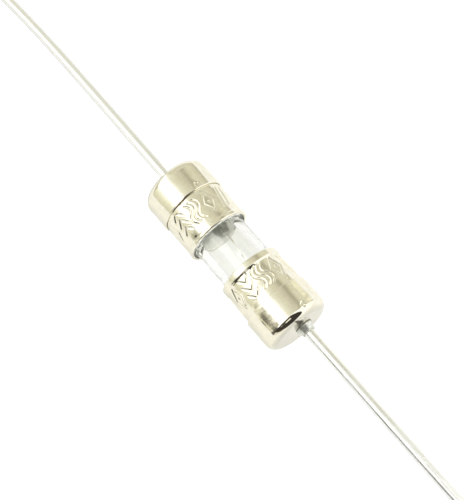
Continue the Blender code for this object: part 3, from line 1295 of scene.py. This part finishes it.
@dataclass
class LeadSolder(EndPiece):
    """The lumpy ring of solder round a lead where it leaves its cap.

    Attributes:
        bore: Radius of its bore.
        edge: Thickness of its thin top edge.
        power: How late it widens from its top to its foot.
        foot_from: Share of the way down where its foot starts to turn in.
        foot_turn: How much the foot turns in, as a share of its width.
        rows: Rings down its side.
    """

    bore: float = 0.315
    edge: float = 0.06
    power: float = 1.4
    foot_from: float = 0.8
    foot_turn: float = 0.25
    steps: int = 120
    rows: int = 36

    def build(self) -> Object:
        """Make the solder.

        Returns:
            The piece.
        """
        low, high = (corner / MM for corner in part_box(self.side.node("lead_solder")))
        base, top = sorted((abs(low.x), abs(high.x)))
        foot = high.z
        lumps = Unevenness(seed=84 + self.side.value, height=0.018, most_round=4, shortest=0.6)
        neck = self.bore + self.edge
        rings = [Ring(base, self.bore), Ring(top - 0.05, self.bore), Ring(top - 0.01, self.bore + 0.02)]
        for i in range(self.rows + 1):
            part = i / self.rows
            turned = max(part - self.foot_from, 0.0) / (1 - self.foot_from)
            swell = part**self.power * (1 - self.foot_turn * turned**2)
            taper = math.sin(math.pi * min(part + 0.1, 0.92))
            rings.append(Ring(top + (base - top) * part, neck + (foot - neck) * swell, relief=taper))
        more = {"middle": (self.layout.lead_side[self.side], 0.0), "relief": lumps}
        return self.turn("solder_fillet", "lead_solder", OUTER_SOLDER, rings, **more)


@dataclass
class FerruleSolder(EndPiece):
    """The solder in a ferrule: a foot on its end, a stem, and a bead that hangs under the bare fuse wire.

    Attributes:
        bore: Radius of its bore.
        foot: Radius of its foot.
        foot_length: Length of its foot.
        stem: Radius of its stem.
        bead: Radius of its bead.
        aside: How far it hangs off the axis, towards -Y.
        bead_half: Half the length of its bead.
        bared: How far under the wire's middle the bead's flat top lies.
        step_length: Length over which that top rises to the stem, from the bead's middle.
        droop: How much lower that top is at its tip.
        droop_from: Distance from the bead's middle where that starts.
        droop_length: Length over which it comes.
        rows: Stretches between the bead's rings.
    """

    bore: float = 0.06
    foot: float = 0.60
    foot_length: float = 0.45
    stem: float = 0.22
    bead: float = 0.46
    aside: float = 0.05
    bead_half: float = 0.70
    bared: float = 0.045
    step_length: float = 0.3
    droop: float = 0.04
    droop_from: float = 0.3
    droop_length: float = 0.4
    rows: int = 40

    def build(self) -> Object:
        """Make the drop of solder.

        Returns:
            The piece.
        """
        half, bead = self.bead_half, self.bead
        low, high = (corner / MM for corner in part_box(self.side.node("ferrule_solder")))
        tip, top = sorted((abs(low.x), abs(high.x)))
        middle = tip + half
        start = math.asin(self.stem / bead)
        end = math.pi - math.asin(2 * self.bore / bead)
        stem = Ring(top - self.foot_length, self.stem, 0, 0.3)
        rings = [Ring(top, self.bore), Ring(top, self.foot - 0.03), Ring(top - 0.04, self.foot)]
        rings += stretch(Ring(top - 0.12, self.foot - 0.08), stem, 8)
        rings += stretch(stem, stem._replace(out=middle + half * math.cos(start)), 10)[1:-1]
        for i in range(self.rows + 1):
            angle = start + (end - start) * i / self.rows
            radius = bead * math.sin(angle)
            rings.append(Ring(middle + half * math.cos(angle), radius, relief=radius / bead))
        rings.append(Ring(middle - half * 0.96, self.bore))
        lumps = Unevenness(seed=91 + self.side.value, height=0.012, most_round=3, shortest=1.6)
        more = {"middle": ((low.y + high.y) / 2 - self.aside, (low.z + high.z) / 2), "relief": lumps}

        def flat_top(out: np.ndarray) -> np.ndarray:
            """Cut the bead flat under the wire, from its tip to where it meets the stem.

            Args:
                out: Places along the axis.

            Returns:
                The highest place over the bead's own axis.
            """
            stepped = self.foot * np.clip((out - middle - 0.05) / self.step_length, 0.0, 1.0)
            drooped = np.clip((middle - self.droop_from - out) / self.droop_length, 0.0, 1.0) ** 2
            return stepped - self.droop * drooped - self.bared

        return self.turn("solder_bead", "ferrule_solder", INNER_SOLDER, rings, top=flat_top, **more)


@dataclass
class FuseWire(Piece):
    """The thin wire that melts, straight in both drops of solder and easing across between them.

    Attributes:
        radius: Radius of the wire.
        reach: Place of its ends along the axis.
        tip_a: Where it leaves the bead at end A.
        tip_b: Where it enters the bead at end B.
        side_a: Sideways place at end A.
        side_b: Sideways place at end B.
        sag: How much lower it is at end B.
        steps: Faces round the wire.
        stations: Rings along it.
    """

    radius: float = 0.045
    reach: float = 4.80
    tip_a: float = 0.97
    tip_b: float = 2.95
    side_a: float = 0.38
    side_b: float = -0.20
    sag: float = 0.10
    steps: int = 20
    stations: int = 160

    def build(self) -> Object:
        """Make the wire.

        Returns:
            The piece.
        """
        along = np.linspace(-self.reach, self.reach, self.stations)
        ease = smooth(np.clip((along + self.tip_a) / (self.tip_a + self.tip_b), 0.0, 1.0))
        route = np.stack([along, self.side_a + (self.side_b - self.side_a) * ease, -self.sag * ease], axis=-1)
        wire = DrawnWire("fine_fuse_wire", route, np.full(self.stations, self.radius), self.steps)
        return self.dress(wire.build(), "fuse_wire", FUSE_ALLOY)


class Patch(NamedTuple):
    """A patch of the room that lies over its stripes, as polished metal mirrors it.

    Attributes:
        low: Its lower angle, in degrees from straight up towards -Y.
        high: Its upper angle.
        left: How far towards +X it starts, as the share of a direction.
        right: How far towards +X it ends.
        colour: Its light.
        blur: Softness of its sides.
        slanted: Whether its angles fall as it goes towards +X.
    """

    low: float
    high: float
    left: float
    right: float
    colour: Colour
    blur: float
    slanted: bool = False


@dataclass
class Studio:
    """The pale floor, the soft light, the room that the metal mirrors, and the camera.

    The camera looks down, leaning towards end B and a little towards -Y.

    Attributes:
        layout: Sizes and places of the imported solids.
        distance: From the aim to the camera.
        tilt: Lean of the view towards end B, in degrees.
        lean: Lean of the view towards -Y, in degrees.
        roll: Turn of the picture, in degrees.
        aim_along: Place of the aim along the picture of the axis.
        aim_across: Place of the aim across it.
        lens: Focal length of the camera, in millimetres.
        sensor: Width of its sensor.
        floor_half: Half the width of the floor, in millimetres.
        floor_colour: Diffuse colour of the floor.
        floor_glow: What the camera and mirrors see added to it.
        floor_through_glass: What is seen added to it through the glass.
        shade: How much darker the floor beside the fuse is in the metal's mirror.
        shade_side: Middle of that shade along Y, in millimetres.
        shade_width: Half its width.
        shade_end: Place along X past which it is fainter.
        shade_fade: Length over which it gets fainter.
        shade_past: How much of it is left there.
        lamp_share: Share of the light that comes from the lamp.
        lamp_away: Distance of the lamp, in millimetres.
        lamp_angle: Degrees from straight up to the lamp, towards -Y.
        lamp_along: How far the lamp stands towards +X, as a share of its distance from the axis.
        lamp_size: Length and width of the lamp, in millimetres.
        through_glass: Light that matt surfaces get through the glass, with the lamp's share made good.
        slant: Degrees that a slanted patch falls over the whole of +X.
        edge: Half the width of the soft edges of a patch's angles, in degrees.
        stripes: Degrees from straight up towards -Y, and light, of the room's stripes round the fuse's axis.
        patches: The patches that lie over them, the last on top.
    """

    layout: Layout
    distance: float = 60.0
    tilt: float = 17.8
    lean: float = 10.0
    roll: float = 49.0
    aim_along: float = -0.075
    aim_across: float = 0.19
    lens: float = 81.4
    sensor: float = 36.0
    floor_half: float = 1500.0
    floor_colour: float = 0.22
    floor_glow: float = 0.84
    floor_through_glass: float = 0.50
    shade: float = 0.38
    shade_side: float = -1.4
    shade_width: float = 3.0
    shade_end: float = 6.0
    shade_fade: float = 0.8
    shade_past: float = 0.55
    lamp_share: float = 0.4
    lamp_away: float = 300.0
    lamp_angle: float = 34.0
    lamp_along: float = -0.30
    lamp_size: tuple[float, float] = (300.0, 200.0)
    through_glass: float = 9.2
    slant: float = 70.0
    edge: float = 2.0
    stripes: tuple[tuple[float, Colour], ...] = (
        (-96, (0.52, 0.50, 0.42)),
        (-88, (0.56, 0.54, 0.46)),
        (-80, (0.70, 0.68, 0.57)),
        (-60, (0.80, 0.79, 0.67)),
        (-50, (0.72, 0.70, 0.58)),
        (-44, (0.52, 0.50, 0.41)),
        (-39, (0.48, 0.46, 0.38)),
        (-30, (0.66, 0.63, 0.54)),
        (-15, (0.76, 0.74, 0.63)),
        (-2, (0.84, 0.84, 0.73)),
        (6, (0.93, 0.93, 0.86)),
        (12, (1.10, 1.10, 1.10)),
        (17, (1.70, 1.70, 1.70)),
        (52, (1.70, 1.70, 1.70)),
        (61, (1.12, 1.12, 1.06)),
        (70, (0.95, 0.96, 0.82)),
        (78, (0.86, 0.85, 0.71)),
        (90, (0.74, 0.72, 0.61)),
        (96, (0.90, 0.88, 0.80)),
    )
    patches: tuple[Patch, ...] = (
        Patch(-60, -5, -2.0, -0.60, (0.74, 0.72, 0.61), 0.06),
        Patch(59, 84, -2.0, -0.55, (0.64, 0.62, 0.52), 0.06),
        Patch(-62, -22, -0.62, -0.42, (0.76, 0.76, 0.68), 0.03),
        Patch(50, 80, -0.238, -0.10, (0.48, 0.47, 0.39), 0.03),
        Patch(64, 80, -0.228, -0.10, (0.20, 0.19, 0.16), 0.03),
        Patch(-92, -70, -0.27, -0.10, (1.00, 0.98, 0.82), 0.02),
        Patch(83, 96, -0.280, -0.2375, (1.1, 1.1, 1.02), 0.003),
        Patch(84, 106, -0.205, -0.12, (0.16, 0.16, 0.13), 0.01),
        Patch(59, 94, -0.14, 0.14, (0.13, 0.13, 0.11), 0.02),
        Patch(-60, -20, -0.12, 0.12, (0.48, 0.47, 0.40), 0.03),
        Patch(-180, 10, 0.04, 2.0, (1.3, 1.3, 1.3), 0.03, True),
        Patch(10, 300, 0.13, 2.0, (0.050, 0.042, 0.038), 0.02, True),
        Patch(79, 180, 0.28, 2.0, (0.88, 0.85, 0.76), 0.03),
        Patch(10, 32, 0.44, 0.62, (1.1, 1.1, 1.05), 0.03),
        Patch(44, 54, 0.36, 0.50, (0.40, 0.39, 0.36), 0.04),
    )

    def floor(self) -> None:
        """Make the wide pale floor that the fuse lies on."""
        half, height = self.floor_half, self.layout.floor
        corners = [(-half, -half, height), (half, -half, height), (half, half, height), (-half, half, height)]
        floor = make_piece("pale_floor", np.array(corners), [[0, 1, 2, 3]])
        made, graph, shader = new_surface("Pale floor")
        made.cycles.emission_sampling = "NONE"
        rays = graph.add("LightPath").outputs
        through = rays["Is Transmission Ray"]
        along, across, _ = graph.vector_parts(place_in_mm(graph))
        away = graph.math("DIVIDE", graph.minus(across, self.shade_side), self.shade_width)
        shade = graph.math("EXPONENT", graph.times(away, away, -1.0))
        fading_from = self.shade_end - self.shade_fade
        ahead = graph.ramp(along, fading_from, self.shade_end, 1.0, self.shade_past)
        shade = graph.times(shade, ahead, self.shade, graph.minus(1.0, through))
        mirrored = graph.times(rays["Is Glossy Ray"], graph.minus(1.0, shade))
        glow = graph.times(graph.math("MAXIMUM", rays["Is Camera Ray"], mirrored), self.floor_glow)
        glow = graph.math("MAXIMUM", glow, graph.times(through, self.floor_through_glass))
        values = {"Base Color": grey(self.floor_colour), "Roughness": 1.0, "Specular IOR Level": 0.0}
        graph.fill(shader, {**values, "Emission Color": WHITE, "Emission Strength": glow})
        floor.data.materials.append(made)

    def mirrored_room(self, graph: Graph) -> Socket:
        """Draw the room as polished metal mirrors it: stripes round the axis, and patches over them.

        Args:
            graph: Nodes of the world.

        Returns:
            The room's colour.
        """
        sideways, ahead, up = graph.vector_parts(graph.add("TexCoord").outputs["Generated"])
        angle = graph.math("DEGREES", graph.math("ARCTAN2", graph.times(ahead, -1.0), up))
        first, last = self.stripes[0][0], self.stripes[-1][0]
        ramp = graph.add("ValToRGB", {0: graph.math("DIVIDE", graph.minus(angle, first), last - first)})
        points = ramp.color_ramp.elements
        while len(points) < len(self.stripes):
            points.new(0.5)
        for point, (place, colour) in zip(points, self.stripes):
            point.position = (place - first) / (last - first)
            point.color = (*colour, 1.0)
        room = ramp.outputs[0]
        slanted = graph.plus(angle, graph.times(sideways, self.slant))
        for low, high, left, right, colour, blur, is_slanted in self.patches:
            turn = slanted if is_slanted else angle
            inside = graph.times(
                graph.ramp(turn, low - self.edge, low + self.edge),
                graph.ramp(turn, high + self.edge, high - self.edge),
                graph.ramp(sideways, left - blur, left + blur),
                graph.ramp(sideways, right + blur, right - blur),
            )
            room = graph.blend(inside, room, colour)
        return room

    def world(self) -> None:
        """Light the room plainly, white to the camera, and striped as metal and glass show it."""
        world = bpy.data.worlds.new("Studio")
        world.use_nodes = True
        world.cycles.sampling_method = "NONE"
        graph = Graph(world.node_tree)
        rays = graph.add("LightPath").outputs
        mirrored = graph.math("MAXIMUM", rays["Is Glossy Ray"], rays["Is Transmission Ray"])
        soaked = graph.math("MINIMUM", rays["Diffuse Depth"], 1.0)
        through = graph.blend(soaked, self.mirrored_room(graph), grey(self.through_glass))
        colour = graph.blend(mirrored, grey(1.0 - self.lamp_share), through)
        colour = graph.blend(rays["Is Camera Ray"], colour, WHITE)
        graph.feed(world.node_tree.nodes["Background"].inputs["Color"], colour)
        bpy.context.scene.world = world

    def lamp(self) -> None:
        """Hang one large soft lamp over the -Y side, where the metal mirrors the bright stripe."""
        angle, away = math.radians(self.lamp_angle), self.lamp_away * MM
        back = Vector((self.lamp_along, -math.sin(angle), math.cos(angle))).normalized()
        data = bpy.data.lights.new("Soft lamp", "AREA")
        data.shape = "RECTANGLE"
        data.size, data.size_y = (size * MM for size in self.lamp_size)
        data.energy = self.lamp_share * math.pi**2 * away**2 / back.z
        lamp = bpy.data.objects.new("Soft lamp", data)
        lamp.location = back * away
        lamp.rotation_mode = "QUATERNION"
        lamp.rotation_quaternion = (-back).to_track_quat("-Z", "Y")
        lamp.visible_glossy = False
        bpy.context.scene.collection.objects.link(lamp)

    def camera(self) -> None:
        """Place the camera at the photograph's viewing angle."""
        tilt, roll = math.radians(self.tilt), math.radians(self.roll)
        along = Vector((math.cos(tilt), 0.0, -math.sin(tilt)))
        across = Vector((0.0, -1.0, 0.0))
        back = Vector((math.sin(tilt), 0.0, math.cos(tilt)))
        right = along * math.cos(roll) - across * math.sin(roll)
        up = -along * math.sin(roll) - across * math.cos(roll)
        place = (along * self.aim_along - across * self.aim_across + back * self.distance) * MM
        turned = Matrix((right, up, back)).transposed().to_4x4()
        turned.translation = place
        data = bpy.data.cameras.new("Camera")
        data.lens = self.lens
        data.sensor_width = self.sensor
        data.clip_start = MM
        data.clip_end = 10.0
        camera = bpy.data.objects.new("Camera", data)
        camera.matrix_world = Matrix.Rotation(math.radians(self.lean), 4, "X") @ turned
        bpy.context.scene.collection.objects.link(camera)
        bpy.context.scene.camera = camera

    def build(self) -> None:
        """Set up the whole studio."""
        bpy.context.scene.view_settings.view_transform = "Standard"
        self.floor()
        self.world()
        self.lamp()
        self.camera()


def main() -> None:
    """Build and dress every piece of the fuse, then the studio."""
    logging.basicConfig(level=logging.INFO, format="%(message)s")
    layout = Layout.from_frame(frame["record"])
    GlassTube(layout).build()
    FuseWire(layout).build()
    for side in Side:
        Ferrule(layout, side).build()
        FerruleSolder(layout, side).build()
        LeadCap(layout, side).build()
        Lead(layout, side).build()
        LeadSolder(layout, side).build()
    Studio(layout).build()


if __name__ == "__main__":
    main()
